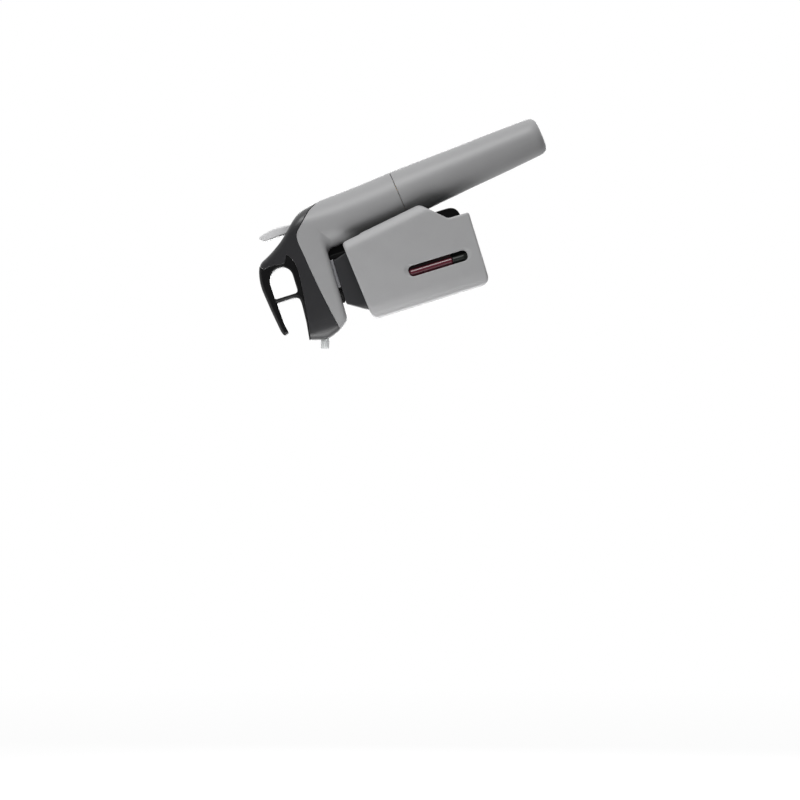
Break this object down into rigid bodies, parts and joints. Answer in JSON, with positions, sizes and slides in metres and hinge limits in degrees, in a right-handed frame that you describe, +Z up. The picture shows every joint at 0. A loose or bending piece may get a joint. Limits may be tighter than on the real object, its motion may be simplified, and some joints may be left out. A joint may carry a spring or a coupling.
{
  "type": "wine preservation dispenser",
  "caption": "Needle-and-gas wine dispenser: round leaning handle, wedge head with thumb loop, trigger and clear spout, on a sliding rail with a two-wing bottle clamp.",
  "frame": {"origin": "centre of the bottle's mouth, on the needle's axis, at the underside of the mouth seal", "axes": "+Z up out of the bottle along the needle, -Y towards the pouring spout, +Y towards the handle, +X across the width (the object is symmetric about X = 0)"},
  "size_m": [0.052, 0.1133, 0.2196],
  "materials": {
    "light_grey_plastic": "satin moulded",
    "charcoal_plastic": "satin moulded",
    "black_plastic": "satin moulded",
    "dark_grey_plastic": "matt moulded",
    "pale_grey_plastic": "smooth moulded",
    "clear_plastic": "clear",
    "burgundy_elastomer": "smooth",
    "black_rubber": "matt",
    "steel": "bright",
    "brass": "turned"
  },
  "bodies": {
    "clamp_base": {"base_frame": "dark_grey_plastic", "mouth_seal": "black_rubber", "needle_guide": "steel", "rail_keeper_left": "black_plastic", "rail_keeper_right": "black_plastic", "stop_pin": "steel", "hinge_pin_left": "steel", "hinge_pin_right": "steel", "wing_spring_left": "steel", "wing_spring_right": "steel", "keeper_screw_left_top": "steel", "keeper_screw_left_bottom": "steel", "keeper_screw_right_top": "steel", "keeper_screw_right_bottom": "steel"},
    "wing_left": {"clamp_wing_left": "light_grey_plastic", "neck_pad_upper_left": "burgundy_elastomer", "neck_pad_lower_left": "black_rubber"},
    "wing_right": {"clamp_wing_right": "light_grey_plastic", "neck_pad_upper_right": "burgundy_elastomer", "neck_pad_lower_right": "black_rubber"},
    "upper_body": {"main_body": "light_grey_plastic", "head_cover": "charcoal_plastic", "grip_loop": "black_plastic", "underside_plate": "dark_grey_plastic", "spout_tip": "clear_plastic", "wine_manifold": "dark_grey_plastic", "check_valve": "pale_grey_plastic", "gas_tube": "clear_plastic", "needle_hub": "black_plastic", "needle": "steel", "regulator_body": "brass", "regulator_cap": "brass", "valve_seat": "black_rubber", "valve_spring": "steel", "piercing_lance": "steel", "capsule_seal": "black_rubber", "trigger_pin": "steel", "rail": "black_plastic", "rail_screw_top": "steel", "rail_screw_lower": "steel", "plate_screw": "steel", "loop_screw_front": "steel", "loop_screw_rear": "steel", "cover_screw_left": "steel", "cover_screw_right": "steel"},
    "trigger": {"trigger": "pale_grey_plastic"},
    "valve_stem": {"valve_stem": "steel"},
    "capsule": {"argon_capsule": "steel"},
    "capsule_cup": {"capsule_cup": "light_grey_plastic", "cup_cushion": "black_rubber"}
  },
  "joints": [
    {"name": "body_slide", "type": "slide", "parent": "clamp_base", "child": "upper_body", "axis": [0, 0, 1], "range_m": [0, 0.068]},
    {"name": "wing_left_hinge", "type": "hinge", "parent": "clamp_base", "child": "wing_left", "pos_m": [-0.0193, 0.0175, 0], "axis": [0, 0, -1], "range_deg": [0, 20], "stiffness_Nm_per_rad": 0.045, "springref_deg": -85.94, "deforming": ["wing_spring_left"]},
    {"name": "wing_right_hinge", "type": "hinge", "parent": "clamp_base", "child": "wing_right", "pos_m": [0.0193, 0.0175, 0], "axis": [0, 0, 1], "range_deg": [0, 20], "stiffness_Nm_per_rad": 0.045, "springref_deg": -85.94, "deforming": ["wing_spring_right"]},
    {"name": "trigger_hinge", "type": "hinge", "parent": "upper_body", "child": "trigger", "pos_m": [0, 0.054, 0.029], "axis": [1, 0, 0], "range_deg": [0, 9], "stiffness_Nm_per_rad": 0.1, "springref_deg": -8.59},
    {"name": "valve_stem_slide", "type": "slide", "parent": "upper_body", "child": "valve_stem", "axis": [0, 0.1106, -0.9939], "range_m": [0, 0.0016], "deforming": ["valve_spring"]},
    {"name": "capsule_slide", "type": "slide", "parent": "upper_body", "child": "capsule", "axis": [0, 0.1106, -0.9939], "range_m": [0, 0.0121]},
    {"name": "cup_turn", "type": "hinge", "parent": "capsule", "child": "capsule_cup", "pos_m": [0, 0.05198, -0.04204], "axis": [0, 0.1106, -0.9939], "range_deg": [0, 2160]}
  ],
  "couplings": [
    {"joint": "valve_stem_slide", "follows": "trigger_hinge", "m_per_rad": 0.0099},
    {"joint": "capsule_slide", "follows": "cup_turn", "m_per_rad": 0.00031831}
  ]
}
